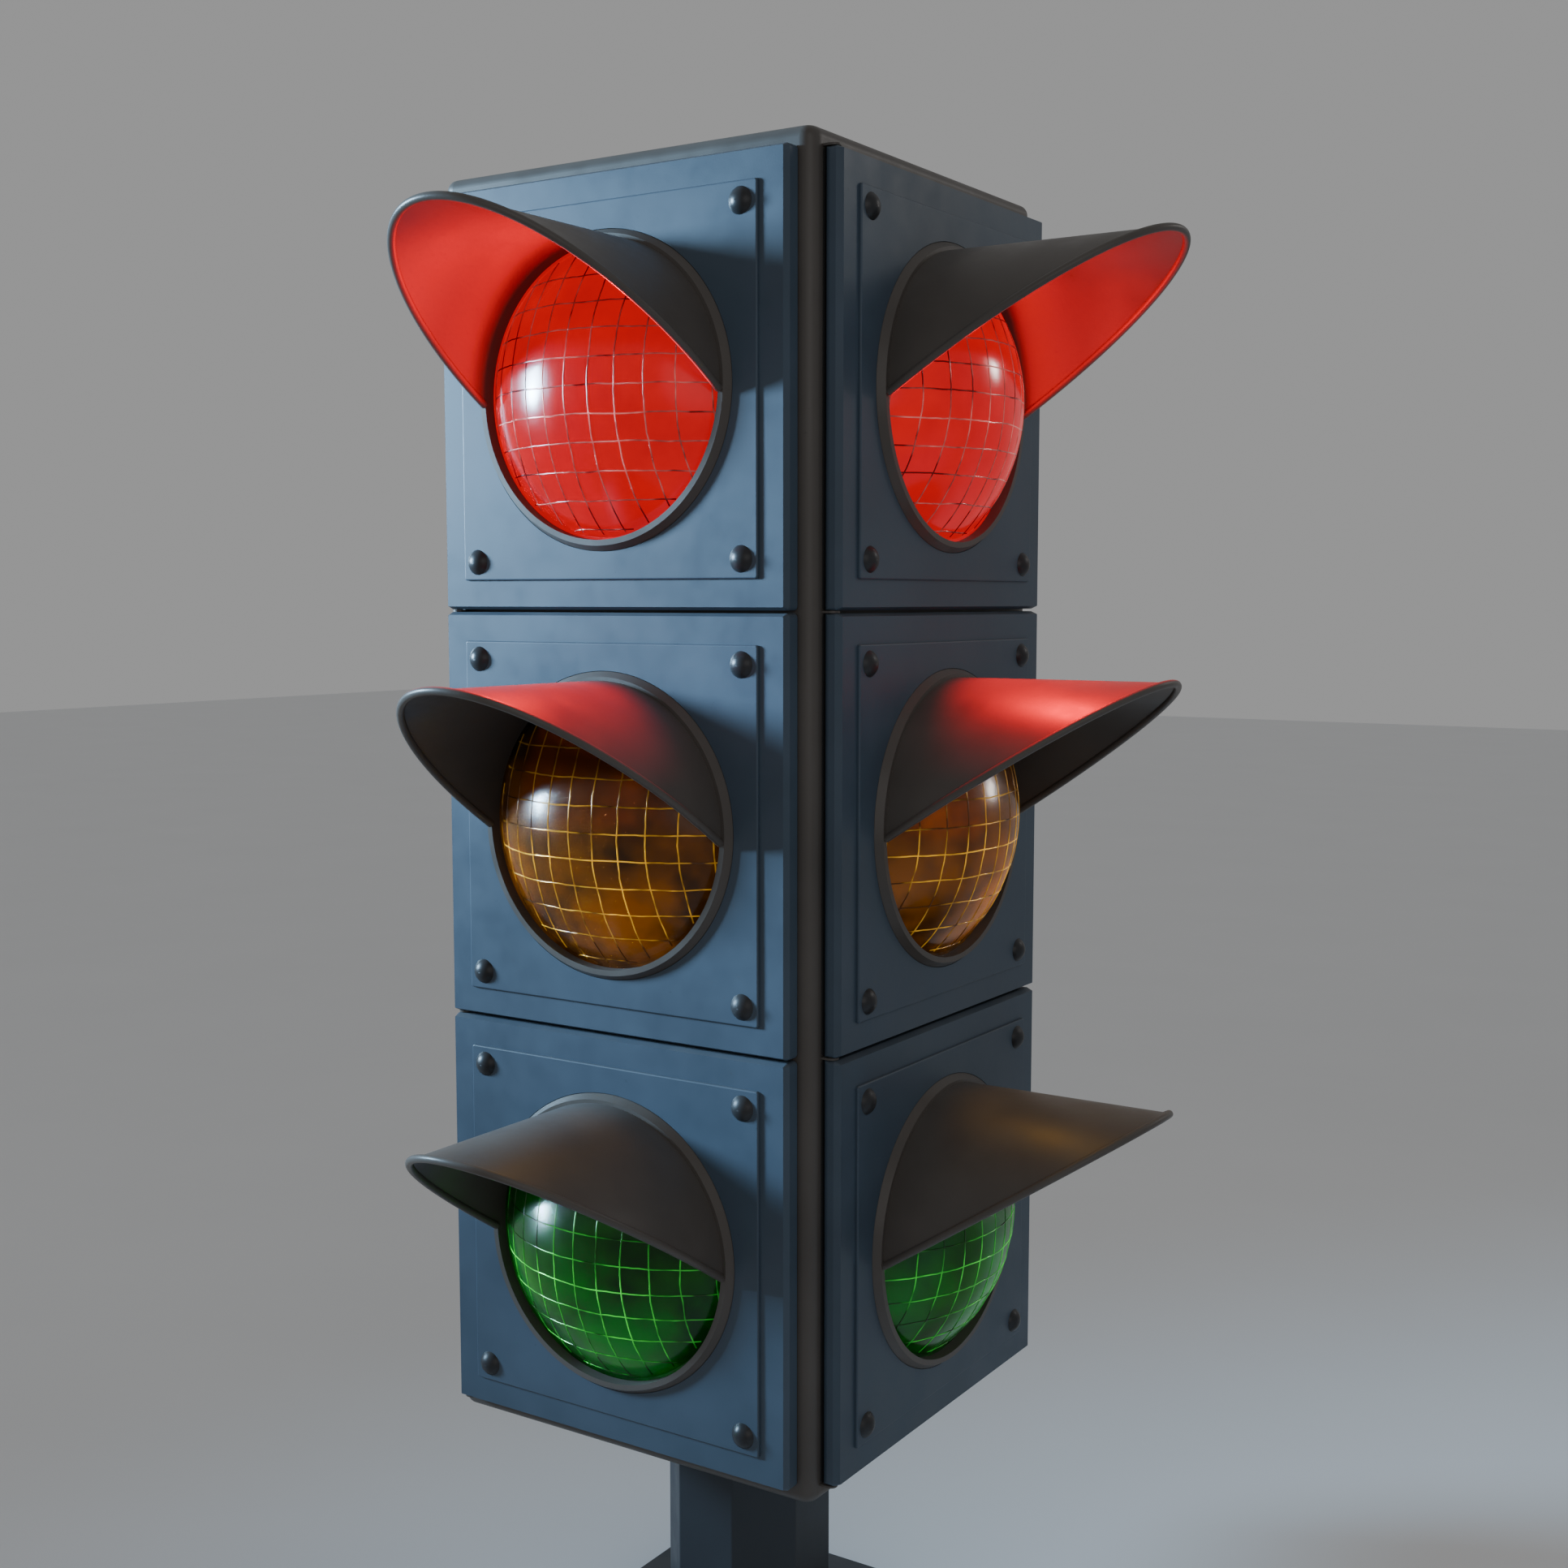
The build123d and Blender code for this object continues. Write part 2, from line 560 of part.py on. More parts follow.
# Four brackets a side: under the green door, in the two gaps and over the red door.
tab_reach = HINGE_TAB / 2
gap_heights = [CORE_BOTTOM + CORE_END + (step - 0.5) * SECTION_PITCH for step in range(4)]
pin_reaches = [(PIN_REACH, tab_reach), (PIN_REACH, PIN_REACH), (PIN_REACH, PIN_REACH), (tab_reach, PIN_REACH)]
brackets = [
    hinge_bracket(*reach).moved(face_plane(face, height).location)
    for height, reach in zip(gap_heights, pin_reaches)
    for face in FACE_ANGLE
]
write(Compound(brackets), "hinge_brackets")

# ---- fasteners and terminals --------------------------------------------------------------------

# Pan-head screw, head up, with the underside of its head at the origin.
with BuildPart() as cover_screw:
    with BuildSketch():
        Circle(COVER_SCREW_HEAD)
    extrude(amount=COVER_SCREW_HEAD_HEIGHT)
    fillet(faces().sort_by(Axis.Z)[-1].edges(), COVER_SCREW_HEAD_HEIGHT * 0.6)
    with BuildSketch():
        Circle(COVER_SCREW)
    extrude(amount=-COVER_SCREW_LENGTH)
    with Locations((0, 0, COVER_SCREW_HEAD_HEIGHT)):
        Box(2 * COVER_SCREW_HEAD, 1.2, 2.4, mode=Mode.SUBTRACT)

# Hexagon bolt, head down, with the top of its head at the origin.
with BuildPart() as post_bolt:
    with BuildSketch():
        RegularPolygon(POST_BOLT_FLATS / 2, 6, major_radius=False)
    extrude(amount=-POST_BOLT_HEAD)
    with BuildSketch():
        Circle(POST_BOLT)
    extrude(amount=COVER_WALL + TOP_FLANGE_THICKNESS + POST_BOLT_HEAD + 3)

with BuildPart() as post_nut:
    with BuildSketch():
        RegularPolygon(POST_BOLT_FLATS / 2, 6, major_radius=False)
        Circle(POST_BOLT + THREAD_GAP, mode=Mode.SUBTRACT)
    extrude(amount=POST_BOLT_HEAD)

cover_grid = GridLocations(COVER_SCREW_SPACING, COVER_SCREW_SPACING, 2, 2).locations
post_grid = GridLocations(TOP_BOLT_SPACING, TOP_BOLT_SPACING, 2, 2).locations
top_screws = [cover_screw.part.moved(Location((0, 0, CORE_TOP)) * place) for place in cover_grid]
bottom_screws = [
    cover_screw.part.moved(Location((0, 0, CORE_BOTTOM), (180, 0, 0)) * place) for place in cover_grid
]
post_bolts = [post_bolt.part.moved(Location((0, 0, CORE_BOTTOM)) * place) for place in post_grid]
nut_seat = CORE_BOTTOM + COVER_WALL + TOP_FLANGE_THICKNESS
post_nuts = [post_nut.part.moved(Location((0, 0, nut_seat)) * place) for place in post_grid]
write(Compound(top_screws + bottom_screws), "cover_screws")
write(Compound(post_bolts + post_nuts), "post_bolts")

# Terminal strip on the post's top flange.
with BuildPart() as terminal_block:
    with BuildSketch(Plane.XY.offset(nut_seat)):
        with Locations((0, TERMINAL_Y)):
            Rectangle(TERMINAL_LENGTH, TERMINAL_DEPTH)
    extrude(amount=TERMINAL_HEIGHT / 2)
    with BuildSketch(Plane.XY.offset(nut_seat + TERMINAL_HEIGHT / 2)):
        with Locations((0, TERMINAL_Y)):
            Rectangle(TERMINAL_LENGTH, TERMINAL_DEPTH / 2)
    extrude(amount=TERMINAL_HEIGHT / 2)
    with Locations((0, TERMINAL_Y, nut_seat + TERMINAL_HEIGHT)):
        with GridLocations(TERMINAL_LENGTH / TERMINAL_COUNT, 1, TERMINAL_COUNT, 1):
            Hole(TERMINAL_HOLE, depth=TERMINAL_HEIGHT / 2)
write(terminal_block.part, "terminal_block")
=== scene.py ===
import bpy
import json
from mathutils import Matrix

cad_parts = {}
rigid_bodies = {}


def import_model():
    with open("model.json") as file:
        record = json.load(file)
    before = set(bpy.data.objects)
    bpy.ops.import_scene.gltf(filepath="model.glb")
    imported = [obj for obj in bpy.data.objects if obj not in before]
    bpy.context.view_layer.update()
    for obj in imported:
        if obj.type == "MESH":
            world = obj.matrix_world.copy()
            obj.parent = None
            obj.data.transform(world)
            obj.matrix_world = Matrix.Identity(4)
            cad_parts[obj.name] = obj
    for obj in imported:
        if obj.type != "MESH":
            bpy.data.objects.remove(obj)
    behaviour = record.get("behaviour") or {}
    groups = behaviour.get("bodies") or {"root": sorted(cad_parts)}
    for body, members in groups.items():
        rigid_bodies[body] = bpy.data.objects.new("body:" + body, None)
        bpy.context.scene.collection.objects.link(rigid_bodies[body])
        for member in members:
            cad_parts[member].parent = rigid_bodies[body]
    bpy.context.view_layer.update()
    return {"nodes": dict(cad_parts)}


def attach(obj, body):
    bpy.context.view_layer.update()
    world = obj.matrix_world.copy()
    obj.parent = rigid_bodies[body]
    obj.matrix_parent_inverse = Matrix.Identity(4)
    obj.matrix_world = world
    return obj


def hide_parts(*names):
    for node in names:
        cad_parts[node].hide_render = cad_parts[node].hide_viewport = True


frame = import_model()

import json
import math
import random

import bpy
from mathutils import Matrix, Vector

# Two-way traffic signal head. Metres, +Z up, front face towards -Y.
# A section's own frame has x to the right, y up and z away from the head's vertical axis. The lens is
# turned about its z axis.

FACE_ANGLE = {"front": 0, "right": 90}
SECTION_HEIGHT = {"green": 0.383, "amber": 0.693, "red": 1.003}
LENS_DOME = 0.137  # radius of the dome's outside
LENS_CENTRE = 0.0885  # z of the dome's centre
LENS_WALL = 0.003
LENS_SEAT = 0.1796  # z of the flange's front
LENS_BACK = 0.1776  # z of the flange's back
LENS_FLANGE = 0.1184  # radius of the flange
PROFILE_STEPS = 28
TURN_STEPS = 96
SMOOTH_ANGLE = math.radians(35)
GRID_STEP = 0.0194
GRID_LINES = 5  # lines on each side of the middle one
GRID_LINE = 0.00042  # half a line's height
GRID_LINE_WIDER = 1.3  # how much wider than high a line is
GRID_LINE_SIDES = 6
GRID_EDGE = 0.1005  # radius of the patch that the grid fills
GRID_SPAN = 0.0022  # length of a straight stretch of a line
GRID_OFFSET = 0.0006  # how far off its place a line may start
GRID_WOBBLE = 0.00032  # how far it may step aside from one stretch to the next
GRID_SETTLE = 0.8  # how much of its drift a line keeps from one stretch to the next


def section_matrix(face, colour):
    """Where a section's own frame sits on the head."""
    turn = math.radians(FACE_ANGLE[face])
    across, out = (math.cos(turn), math.sin(turn), 0), (math.sin(turn), -math.cos(turn), 0)
    axes = Matrix((across, (0, 0, 1), out)).transposed()
    return Matrix.Translation((0, 0, SECTION_HEIGHT[colour])) @ axes.to_4x4()


# ---- materials ----------------------------------------------------------------------------------


class Nodes:
    """Short ways to add nodes to one material."""

    def __init__(self, name):
        self.material = bpy.data.materials.new(name)
        self.material.use_nodes = True
        self.tree = self.material.node_tree
        self.shader = self.tree.nodes["Principled BSDF"]
        self.place = self.add("ShaderNodeTexCoord").outputs["Object"]

    def add(self, kind, **values):
        node = self.tree.nodes.new(kind)
        for name, value in values.items():
            setattr(node, name, value)
        return node

    def put(self, socket, value):
        """Links an output to the socket, or sets the socket to a plain value."""
        if isinstance(value, bpy.types.NodeSocket):
            self.tree.links.new(value, socket)
        else:
            socket.default_value = value

    def set(self, **values):
        for name, value in values.items():
            self.put(self.shader.inputs[name.replace("_", " ")], value)

    def noise(self, scale, detail=4.0, roughness=0.6):
        node = self.add("ShaderNodeTexNoise")
        self.put(node.inputs["Vector"], self.place)
        node.inputs["Scale"].default_value = scale
        node.inputs["Detail"].default_value = detail
        node.inputs["Roughness"].default_value = roughness
        return node.outputs["Fac"]

    def range(self, value, low, high, out_low, out_high):
        node = self.add("ShaderNodeMapRange")
        self.put(node.inputs["Value"], value)
        self.put(node.inputs["From Min"], low)
        self.put(node.inputs["From Max"], high)
        self.put(node.inputs["To Min"], out_low)
        self.put(node.inputs["To Max"], out_high)
        return node.outputs["Result"]

    def maths(self, operation, first, second):
        node = self.add("ShaderNodeMath", operation=operation)
        self.put(node.inputs[0], first)
        self.put(node.inputs[1], second)
        return node.outputs["Value"]

    def mix(self, factor, first, second):
        node = self.add("ShaderNodeMix", data_type="RGBA")
        self.put(node.inputs[0], factor)
        self.put(node.inputs[6], first)
        self.put(node.inputs[7], second)
        return node.outputs[2]

    def part_of(self, vector, axis):
        split = self.add("ShaderNodeSeparateXYZ")
        self.put(split.inputs["Vector"], vector)
        return split.outputs[axis]

    def upward(self):
        """1 on faces that look straight up, 0 on upright faces, -1 on faces that look down."""
        return self.part_of(self.add("ShaderNodeNewGeometry").outputs["Normal"], "Z")

    def bump(self, height, strength, distance):
        node = self.add("ShaderNodeBump")
        node.inputs["Strength"].default_value = strength
        node.inputs["Distance"].default_value = distance
        self.put(node.inputs["Height"], height)
        self.put(self.shader.inputs["Normal"], node.outputs["Normal"])


DUST = (0.20, 0.19, 0.175, 1.0)


def shade(colour, factor):
    """The colour made darker or lighter, with full alpha."""
    return tuple(min(1.0, channel * factor) for channel in colour) + (1.0,)


def coated(name, colour, roughness, metallic=0.0, grain=900.0, dust=0.25, wear=0.12):
    """A finish with slow and fine colour changes, uneven gloss, a fine skin and dust on what looks up."""
    nodes = Nodes(name)
    slow = nodes.noise(7.0)
    fine = nodes.noise(160.0, 6.0)
    base = nodes.mix(nodes.range(slow, 0.35, 0.65, 0, 1), shade(colour, 1 - wear), shade(colour, 1 + wear))
    specks = nodes.range(fine, 0.68, 0.74, 0, 0.35)
    base = nodes.mix(specks, base, shade(colour, 0.6))
    lying = nodes.range(nodes.upward(), 0.35, 0.95, 0, dust)
    lying = nodes.maths("MULTIPLY", lying, nodes.range(nodes.noise(22.0, 5.0), 0.3, 0.7, 0.3, 1.0))
    nodes.set(Base_Color=nodes.mix(lying, base, DUST), Metallic=metallic)
    gloss = nodes.range(nodes.noise(28.0, 5.0), 0.3, 0.7, roughness - 0.06, roughness + 0.08)
    nodes.set(Roughness=nodes.maths("ADD", gloss, nodes.maths("MULTIPLY", lying, 0.5)))
    nodes.set(Specular_IOR_Level=0.3)
    nodes.bump(nodes.noise(grain, 2.0), 0.12, 0.0003)
    return nodes.material


def see_through(nodes, tint, deep, bright):
    """Smooth glass whose colour goes from deep to bright with the tint."""
    nodes.set(Base_Color=nodes.mix(tint, shade(deep, 1), shade(bright, 1)))
    nodes.set(Transmission_Weight=0.95, IOR=1.38, Specular_IOR_Level=0.3)
    nodes.set(Roughness=nodes.range(nodes.noise(45.0, 5.0), 0.3, 0.7, 0.17, 0.25))
    nodes.bump(nodes.noise(60.0), 0.03, 0.0005)


def clear_glass(name, deep, bright):
    """Glass with slow changes between two tints."""
    nodes = Nodes(name)
    see_through(nodes, nodes.range(nodes.noise(16.0), 0.35, 0.65, 0, 1), deep, bright)
    return nodes.material


def dim_glass_with_painted_light(name, deep, bright, glow):
    """Signal glass that isn't switched on: painted shade keeps its upper half the deep tint, and lower
    down a painted glow gives patches the bright tint and a weak emission.
    """
    nodes = Nodes(name)
    # Painted light mask: 0 from 5 cm above the middle up, which leaves the deep tint there as painted
    # shade; up to 1 lower down.
    low = nodes.range(nodes.part_of(nodes.place, "Y"), 0.05, -0.06, 0.0, 1.0)
    painted_light_patches = nodes.maths("MULTIPLY", low, nodes.range(nodes.noise(16.0), 0.40, 0.62, 0.15, 1))
    see_through(nodes, painted_light_patches, deep, bright)
    # Painted glow: the lower patches give off the bright tint, though the lamp is off.
    nodes.set(Emission_Color=shade(bright, 1), Emission_Strength=nodes.maths("MULTIPLY", painted_light_patches, glow))
    return nodes.material


def lit(name, colour, glow, strength, roughness=0.17):
    """Lit signal glass: it gives its own colour off."""
    nodes = Nodes(name)
    slow = nodes.range(nodes.noise(18.0), 0.3, 0.7, 0.85, 1.1)
    nodes.set(Base_Color=nodes.mix(slow, shade(colour, 0.8), shade(colour, 1.0)), IOR=1.5)
    nodes.set(Specular_IOR_Level=0.3)
    nodes.set(Roughness=nodes.range(nodes.noise(45.0, 5.0), 0.3, 0.7, roughness - 0.03, roughness + 0.05))
    nodes.set(Emission_Color=glow + (1.0,), Emission_Strength=nodes.maths("MULTIPLY", slow, strength))
    nodes.bump(nodes.noise(60.0), 0.1, 0.0005)
    return nodes.material


def painted_glint_wire(name, dark, bright, glow, top):
    """Fine moulded lines with painted glints: patches of the bright colour that also give off light, above
    the middle only by the part top.
    """
    nodes = Nodes(name)
    # Where the painted glints go: fully low on the dome, by the part top above the middle, in noise
    # patches.
    low = nodes.range(nodes.part_of(nodes.place, "Y"), 0.05, -0.02, top, 1.0)
    painted_light_patches = nodes.maths("MULTIPLY", low, nodes.range(nodes.noise(26.0, 3.0), 0.42, 0.66, 0, 1))
    nodes.set(Base_Color=nodes.mix(painted_light_patches, shade(dark, 1), shade(bright, 1)), Metallic=0.2)
    nodes.set(Roughness=nodes.range(nodes.noise(70.0), 0.3, 0.7, 0.08, 0.22))
    # Painted glints: the bright patches give off light of their own.
    nodes.set(Emission_Color=shade(bright, 1), Emission_Strength=nodes.maths("MULTIPLY", painted_light_patches, glow))
    nodes.bump(nodes.noise(400.0), 0.2, 0.0003)
    return nodes.material


DOOR_BLUE = (0.053, 0.077, 0.107)
CHARCOAL = (0.084, 0.074, 0.067)
door_paint = coated("door_paint", DOOR_BLUE, 0.42)
core_paint = coated("core_paint", (0.078, 0.070, 0.064), 0.40)
post_paint = coated("post_paint", (0.032, 0.038, 0.046), 0.45)
visor_paint = coated("visor_paint", CHARCOAL, 0.36)
screw_paint = coated("screw_paint", (0.030, 0.031, 0.034), 0.36, metallic=0.2, dust=0.1)
bright_metal = coated("bright_metal", (0.72, 0.72, 0.73), 0.16, metallic=1.0, dust=0.05, wear=0.04)
plain_steel = coated("plain_steel", (0.38, 0.38, 0.39), 0.34, metallic=1.0)
rubber = coated("rubber", (0.02, 0.02, 0.02), 0.7)
ceramic = coated("ceramic", (0.62, 0.60, 0.55), 0.3)
moulding = coated("moulding", (0.55, 0.52, 0.44), 0.4)
lamp_glass = clear_glass("lamp_glass", (0.85, 0.86, 0.82), (0.97, 0.97, 0.94))
LENS_LOOK = {
    "red": lit("lens_red", (0.12, 0.0, 0.001), (1.0, 0.0, 0.008), 0.58),
    # Amber and green are switched off: their deep tint is painted shade above the middle, and their last
    # number is the strength of a painted glow lower down.
    "amber": dim_glass_with_painted_light("lens_amber", (0.20, 0.08, 0.02), (1.0, 0.36, 0.0), 0.06),
    "green": dim_glass_with_painted_light("lens_green", (0.0, 0.16, 0.01), (0.0, 0.70, 0.01), 0.04),
}
GRID_LOOK = {
    # Grid lines with painted glints: dark colour, glint colour, glint emission, and the glints' share
    # above the middle.
    "red": painted_glint_wire("grid_red", (0.14, 0.0, 0.0), (0.9, 0.22, 0.19), 0.3, 0.5),
    "amber": painted_glint_wire("grid_amber", (0.10, 0.03, 0.0), (1.0, 0.50, 0.03), 0.45, 0.12),
    "green": painted_glint_wire("grid_green", (0.0, 0.05, 0.0), (0.06, 0.85, 0.06), 0.25, 0.12),
}

# ---- CAD nodes ----------------------------------------------------------------------------------

CORE_LOOK = {
    "core_housing": core_paint,
    "top_cover": core_paint,
    "bottom_cover": core_paint,
    "mounting_post": post_paint,
    "hinge_brackets": core_paint,
    "door_seals": rubber,
    "door_catches": plain_steel,
    "reflector_screws": plain_steel,
    "cover_screws": plain_steel,
    "post_bolts": plain_steel,
    "terminal_block": moulding,
}
SECTION_LOOK = {
    "door": door_paint,
    "lens_plate": door_paint,
    "plate_screws": screw_paint,
    "visor": visor_paint,
    "reflector": bright_metal,
    "lamp_holder": ceramic,
    "lamp": lamp_glass,
}


def finish_node(name, material):
    """Gives a CAD node its material all over."""
    mesh = frame["nodes"][name].data
    mesh.materials.clear()
    mesh.materials.append(material)


for name, material in CORE_LOOK.items():
    finish_node(name, material)

# ---- lens ---------------------------------------------------------------------------------------


def dome_point(dome, angle):
    return dome * math.sin(angle), LENS_CENTRE + dome * math.cos(angle)


def lens_profile():
    """Radius and height down the outside of the dome, over the flange and up the inside."""
    steps = PROFILE_STEPS
    outer = math.acos((LENS_SEAT - LENS_CENTRE) / LENS_DOME)
    inner = math.acos((LENS_BACK - LENS_CENTRE) / (LENS_DOME - LENS_WALL))
    down = [dome_point(LENS_DOME, outer * i / steps) for i in range(steps + 1)]
    up = [dome_point(LENS_DOME - LENS_WALL, inner * (steps - i) / steps) for i in range(steps + 1)]
    return down, [(LENS_FLANGE, LENS_SEAT), (LENS_FLANGE, LENS_BACK)], up


def lathe(name, points, segments=TURN_STEPS):
    """Turns a profile of radius and height about z; the ends lie on the axis."""
    vertices = [(0, 0, points[0][1])]
    for radius, height in points[1:-1]:
        for i in range(segments):
            angle = 2 * math.pi * i / segments
            vertices.append((radius * math.cos(angle), radius * math.sin(angle), height))
    vertices.append((0, 0, points[-1][1]))
    rings = len(points) - 2
    faces = []
    for i in range(segments):
        after = (i + 1) % segments
        faces.append((0, 1 + i, 1 + after))
        for ring in range(rings - 1):
            low, high = 1 + ring * segments, 1 + (ring + 1) * segments
            faces.append((low + i, high + i, high + after, low + after))
        last = 1 + (rings - 1) * segments
        faces.append((last + after, last + i, len(vertices) - 1))
    mesh = bpy.data.meshes.new(name)
    mesh.from_pydata(vertices, [], faces)
    mesh.update()
    mesh.shade_smooth()
    mesh.set_sharp_from_angle(angle=SMOOTH_ANGLE)
    return mesh


def tube(vertices, faces, path, radius, sides=GRID_LINE_SIDES):
    """Adds a closed tube along a path of points that stand on the dome."""
    start = len(vertices)
    for i, point in enumerate(path):
        ahead = path[min(i + 1, len(path) - 1)] - path[max(i - 1, 0)]
        out = (point - Vector((0, 0, LENS_CENTRE))).normalized()
        side = ahead.normalized().cross(out)
        for k in range(sides):
            angle = 2 * math.pi * k / sides
            ring = math.cos(angle) * side * GRID_LINE_WIDER + math.sin(angle) * out
            vertices.append(point + radius * ring)
    for i in range(len(path) - 1):
        for k in range(sides):
            low, high, step = start + i * sides, start + (i + 1) * sides, (k + 1) % sides
            faces.append((low + k, low + step, high + step, high + k))
    faces.append(tuple(start + sides - 1 - k for k in range(sides)))
    faces.append(tuple(len(vertices) - sides + k for k in range(sides)))


def grid_mesh(name, seed):
    """The square grid of fine raised lines on the dome, each line a little uneven."""
    chance = random.Random(seed)
    vertices, faces = [], []
    for upright in (True, False):
        for line in range(-GRID_LINES, GRID_LINES + 1):
            reach = math.sqrt(GRID_EDGE**2 - (line * GRID_STEP) ** 2)
            steps = max(8, int(reach / GRID_SPAN))
            drift = chance.uniform(-GRID_OFFSET, GRID_OFFSET)
            path = []
            for i in range(steps + 1):
                along = -reach + 2 * reach * i / steps
                drift = GRID_SETTLE * drift + chance.uniform(-GRID_WOBBLE, GRID_WOBBLE)
                across = line * GRID_STEP + drift
                x, y = (across, along) if upright else (along, across)
                z = LENS_CENTRE + math.sqrt(LENS_DOME**2 - x * x - y * y)
                path.append(Vector((x, y, z)))
            tube(vertices, faces, path, GRID_LINE)
    mesh = bpy.data.meshes.new(name)
    mesh.from_pydata(vertices, [], faces)
    mesh.update()
    mesh.shade_smooth()
    return mesh


down, flange, up = lens_profile()
lens_mesh = {colour: lathe(f"lens_{colour}", down + flange + up) for colour in SECTION_HEIGHT}
grid_meshes = {colour: grid_mesh(f"lens_grid_{colour}", i) for i, colour in enumerate(SECTION_HEIGHT)}
for colour in SECTION_HEIGHT:
    lens_mesh[colour].materials.append(LENS_LOOK[colour])
    grid_meshes[colour].materials.append(GRID_LOOK[colour])


def place(name, mesh, face, colour):
    """A piece in a section's own frame, riding on that section's door."""
    piece = bpy.data.objects.new(name, mesh)
    bpy.context.scene.collection.objects.link(piece)
    piece.matrix_world = section_matrix(face, colour)
    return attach(piece, f"section_{colour}_{face}")


for colour in SECTION_HEIGHT:
    for face in FACE_ANGLE:
        end = f"{colour}_{face}"
        for kind, material in SECTION_LOOK.items():
            finish_node(f"{kind}_{end}", material)
        dome = place(f"lens_dome_{end}", lens_mesh[colour], face, colour)
        grid = place(f"lens_grid_{end}", grid_meshes[colour], face, colour)
        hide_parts(f"lens_{end}")
        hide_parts(f"lens_{end}")

# ---- floor, light and camera --------------------------------------------------------------------

FLOOR_SIZE = 24
FLOOR_HEIGHT = -0.0005
FLOOR_DARK = (0.76, 0.77, 0.78, 1)
FLOOR_PALE = (0.80, 0.81, 0.82, 1)
bpy.ops.mesh.primitive_plane_add(size=FLOOR_SIZE, location=(0, 0, FLOOR_HEIGHT))
floor = bpy.context.active_object
floor.name = "floor"
ground = Nodes("floor")
ground.set(Base_Color=ground.mix(ground.noise(3.0), FLOOR_DARK, FLOOR_PALE), Roughness=0.8)
floor.data.materials.append(ground.material)

SKY_GREY = (0.82, 0.82, 0.82, 1)
SKY_STRENGTH = 0.4
world = bpy.data.worlds.new("studio")
bpy.context.scene.world = world
world.use_nodes = True
sky = world.node_tree.nodes["Background"]
sky.inputs["Color"].default_value = SKY_GREY
sky.inputs["Strength"].default_value = SKY_STRENGTH


def studio_light(name, place_at, aim, size, power, colour, spread):
    """A round soft light; the spread is in degrees."""
    light = bpy.data.lights.new(name, "AREA")
    light.shape = "DISK"
    light.size = size
    light.energy = power
    light.color = colour
    light.spread = math.radians(spread)
    lamp = bpy.data.objects.new(name, light)
    bpy.context.scene.collection.objects.link(lamp)
    lamp.location = place_at
    lamp.rotation_euler = (Vector(aim) - Vector(place_at)).to_track_quat("-Z", "Y").to_euler()
    return lamp


KEY_BLUE = (0.46, 0.73, 1.0)
RIM_WHITE = (1.0, 0.96, 0.92)
studio_light("key", (-2.4, -1.25, 1.35), (-0.1, -0.2, 0.98), 0.7, 20, KEY_BLUE, 44)
studio_light("rim", (1.9, 2.3, 2.1), (0.2, 0, 1.0), 0.8, 1.5, RIM_WHITE, 90)
studio_light("fill", (2.3, -2.3, 1.5), (0, 0, 0.8), 2.4, 3.0, RIM_WHITE, 90)

# Small lights that reach only the lenses and draw a highlight on each, under its hood. Each stands
# where the lens mirrors it to the camera, so its height changes from section to section.
KEY_X, KEY_Y, KEY_HEIGHT = -2.4, -1.25, {"red": 1.2, "amber": 0.88, "green": 0.25}
RIM_X, RIM_Y, RIM_HEIGHT = 1.77, 2.16, {"red": 1.72, "amber": 0.96, "green": 0.12}
HIGHLIGHT_SPREAD = 12
for colour in ("red", "amber", "green"):
    lenses = bpy.data.collections.new(f"lenses_{colour}")
    for part in ("dome", "grid"):
        for face in FACE_ANGLE:
            lenses.objects.link(bpy.data.objects[f"lens_{part}_{colour}_{face}"])
    on_front = (0, -0.21, SECTION_HEIGHT[colour])
    on_right = (0.21, 0, SECTION_HEIGHT[colour])
    key_at = (KEY_X, KEY_Y, KEY_HEIGHT[colour])
    rim_at = (RIM_X, RIM_Y, RIM_HEIGHT[colour])
    key = studio_light(f"key_{colour}", key_at, on_front, 0.46, 1.0, KEY_BLUE, HIGHLIGHT_SPREAD)
    rim = studio_light(f"rim_{colour}", rim_at, on_right, 0.34, 0.07, RIM_WHITE, HIGHLIGHT_SPREAD)
    key.light_linking.receiver_collection = lenses
    rim.light_linking.receiver_collection = lenses

SPOT_BLEND = 0.6
GLOW_COLOUR = {"red": (1.0, 0.0, 0.008), "amber": (1.0, 0.48, 0.04)}


def glow_light(name, kind, colour, face, power, place_at, aim):
    """Light from inside a dome, placed in its section's own frame. It passes through the dome, its grid
    and the floor without lighting them."""
    glow = bpy.data.lights.new(f"{name}_{colour}_{face}", kind)
    glow.energy = power
    glow.color = GLOW_COLOUR[colour]
    source = bpy.data.objects.new(glow.name, glow)
    bpy.context.scene.collection.objects.link(source)
    turn = (Vector(aim) - Vector(place_at)).to_track_quat("-Z", "Y").to_matrix().to_4x4()
    source.matrix_world = section_matrix(face, colour) @ Matrix.Translation(place_at) @ turn
    clear = bpy.data.collections.new(f"clear_{name}_{colour}_{face}")
    for piece in (f"lens_dome_{colour}_{face}", f"lens_grid_{colour}_{face}", "floor"):
        clear.objects.link(bpy.data.objects[piece])
    for entry in clear.collection_objects:
        entry.light_linking.link_state = "EXCLUDE"
    source.light_linking.blocker_collection = clear
    source.light_linking.receiver_collection = clear
    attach(source, f"section_{colour}_{face}")
    return glow


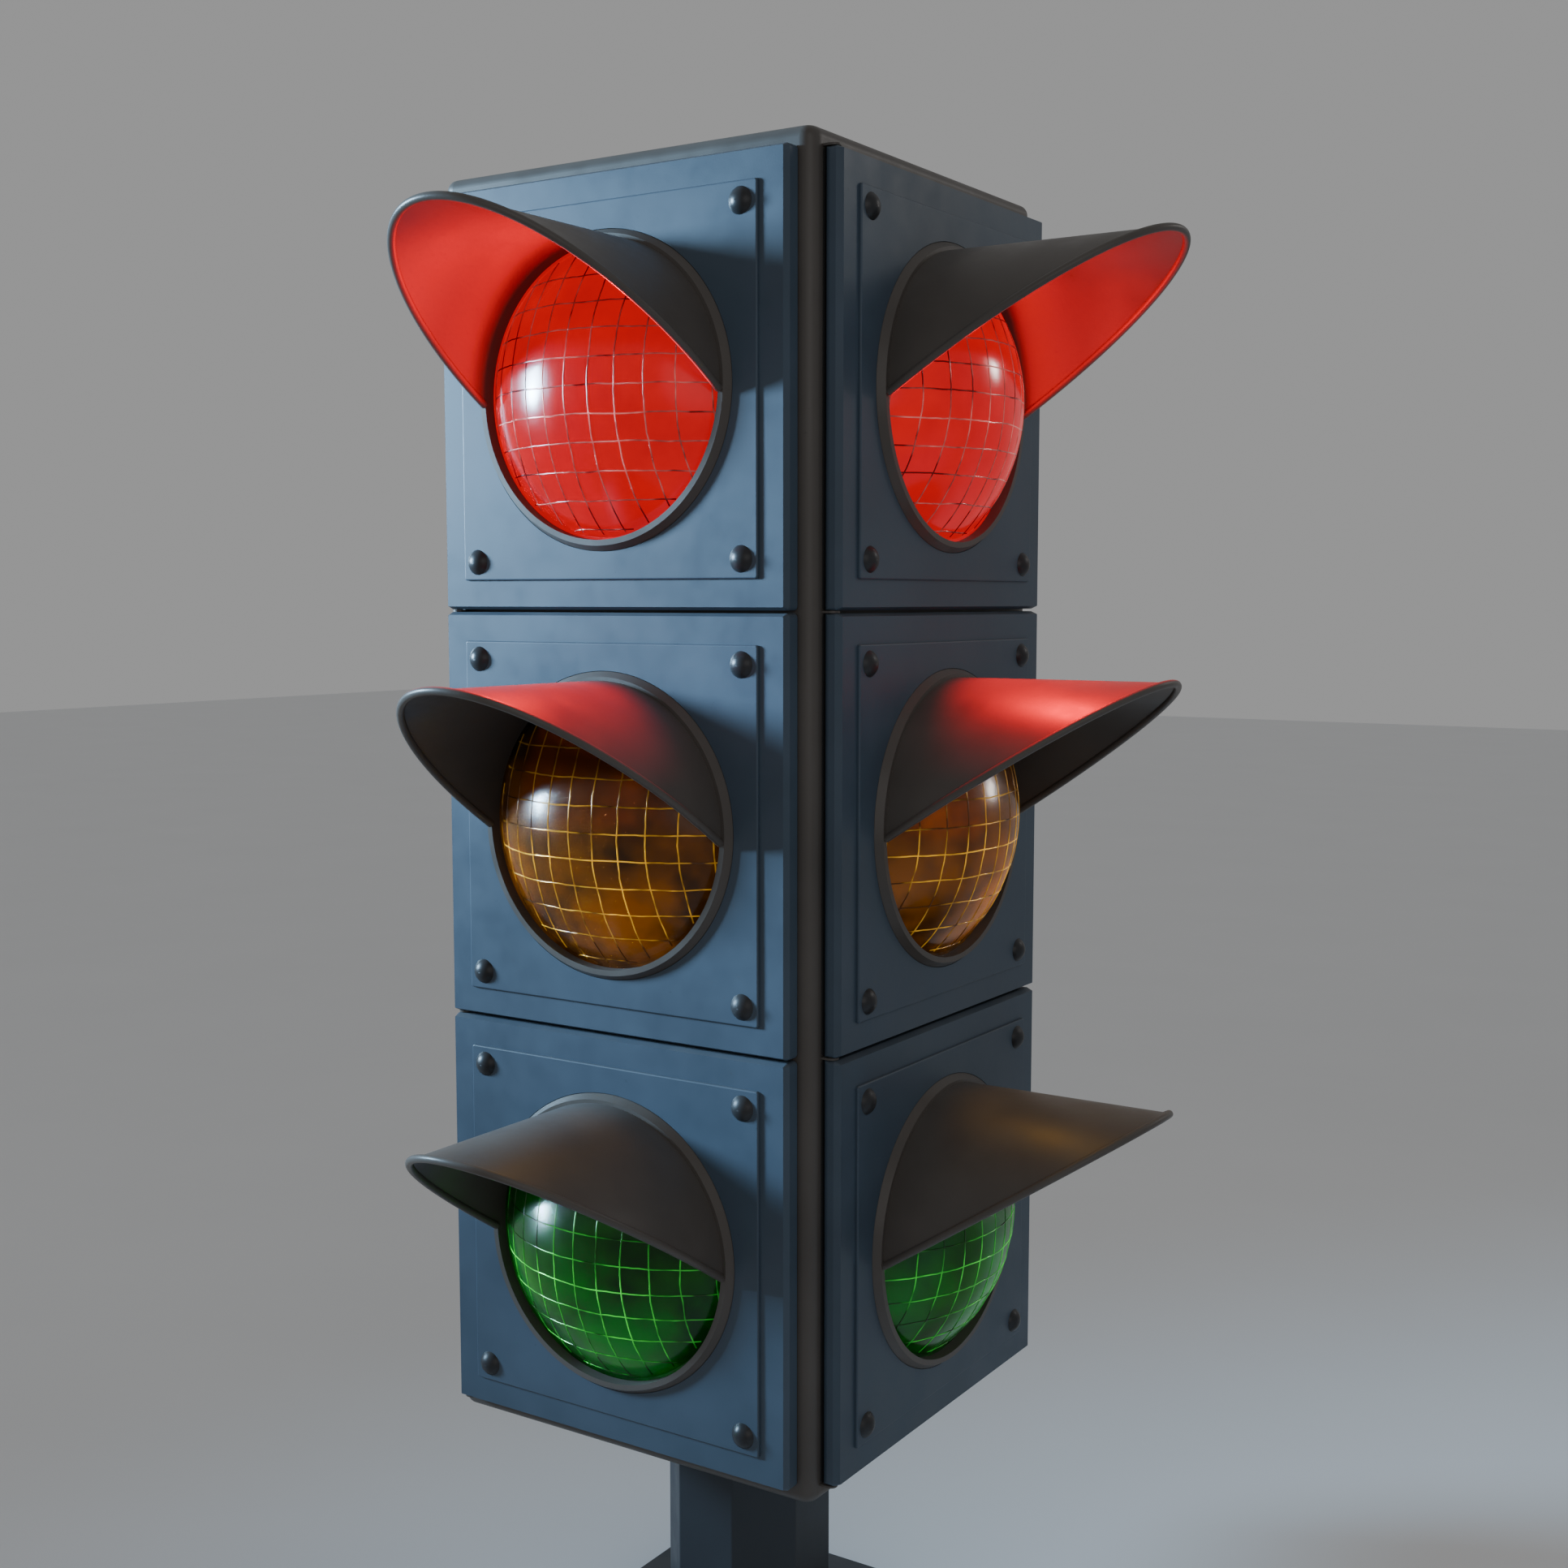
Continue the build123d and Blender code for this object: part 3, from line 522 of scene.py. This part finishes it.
def glow_spot(name, colour, face, power, place_at, aim, cone):
    """A glow light that opens as a cone; the cone is in degrees."""
    spot = glow_light(name, "SPOT", colour, face, power, place_at, aim)
    spot.spot_size = math.radians(cone)
    spot.spot_blend = SPOT_BLEND
    spot.shadow_soft_size = 0


# The lit lamps: a disc lights each red hood's root, a beam its tip and a spill the hood below. The
# amber domes send a trace of light onto the green hoods.
STRAIGHT_OUT = (0, 0, 0.3)
DISC_AT, DISC_SIZE = (0, 0, 0.189), 0.184
BEAM_AT, BEAM_CONE = (0, 0, 0.2275), 168
SPILL_AT, SPILL_AIM, SPILL_CONE = (0, -0.02, 0.215), (0, -0.205, 0.31), 72
for face in FACE_ANGLE:
    disc = glow_light("disc", "AREA", "red", face, 1.1, DISC_AT, STRAIGHT_OUT)
    disc.shape = "DISK"
    disc.size = DISC_SIZE
    glow_spot("beam", "red", face, 2.2, BEAM_AT, STRAIGHT_OUT, BEAM_CONE)
    glow_spot("spill", "red", face, 8.0, SPILL_AT, SPILL_AIM, SPILL_CONE)
    glow_spot("spill", "amber", face, 0.35, SPILL_AT, SPILL_AIM, SPILL_CONE)

# The camera stands at an azimuth from the front, and its view is turned a little less than that.
CAMERA_AZIMUTH = math.radians(34.127)
CAMERA_YAW = math.radians(33.028)
CAMERA_PITCH = math.radians(5.548)
CAMERA_DISTANCE = 1.5238
CAMERA_HEIGHT = 0.8569
CAMERA_LENS = 43.76
CAMERA_SENSOR = 36
camera_data = bpy.data.cameras.new("camera")
camera_data.lens = CAMERA_LENS
camera_data.sensor_width = CAMERA_SENSOR
camera_data.dof.use_dof = False
camera = bpy.data.objects.new("camera", camera_data)
bpy.context.scene.collection.objects.link(camera)
camera.location = (
    CAMERA_DISTANCE * math.sin(CAMERA_AZIMUTH),
    -CAMERA_DISTANCE * math.cos(CAMERA_AZIMUTH),
    CAMERA_HEIGHT,
)
looking = Vector(
    (
        -math.sin(CAMERA_YAW) * math.cos(CAMERA_PITCH),
        math.cos(CAMERA_YAW) * math.cos(CAMERA_PITCH),
        -math.sin(CAMERA_PITCH),
    )
)
camera.rotation_euler = looking.to_track_quat("-Z", "Y").to_euler()
bpy.context.scene.camera = camera
